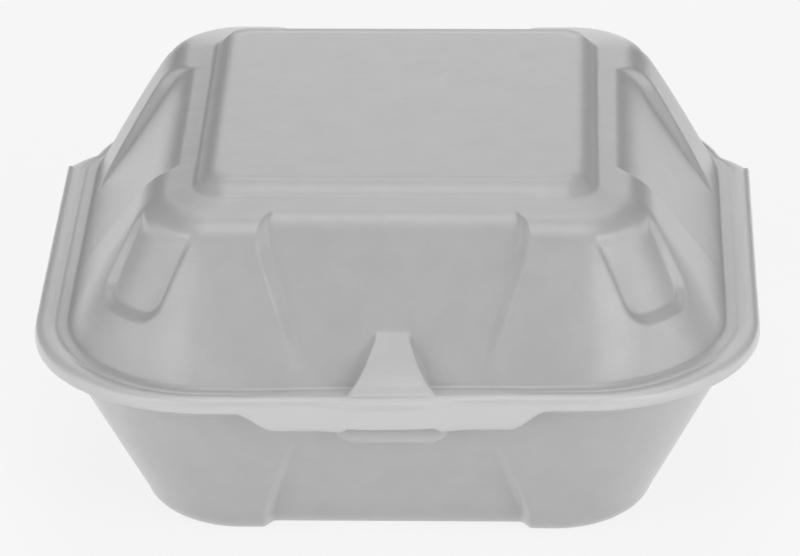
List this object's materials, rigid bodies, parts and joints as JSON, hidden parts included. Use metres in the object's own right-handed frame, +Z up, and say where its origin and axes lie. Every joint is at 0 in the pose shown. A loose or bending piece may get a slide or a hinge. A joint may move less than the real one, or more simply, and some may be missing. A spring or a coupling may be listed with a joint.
{
  "type": "foam clamshell container",
  "caption": "Square foam clamshell box for a sandwich, with a raised lid, corner posts and a front closing tab.",
  "frame": {"origin": "centre of the closed box, on the surface it stands on", "axes": "+Z up; -Y towards the front with the closing tab; the hinge runs along X at the rear"},
  "size_m": [0.133, 0.1325, 0.067],
  "materials": {
    "foam_base": "satin foam skin",
    "foam_lid": "satin foam skin"
  },
  "bodies": {
    "base": {"base": "foam_base"},
    "lid": {"lid": "foam_lid"}
  },
  "joints": [
    {"name": "lid_hinge", "type": "hinge", "parent": "base", "child": "lid", "pos_m": [0, 0.06465, 0.03745], "axis": [-1, 0, 0], "range_deg": [0, 180]}
  ]
}
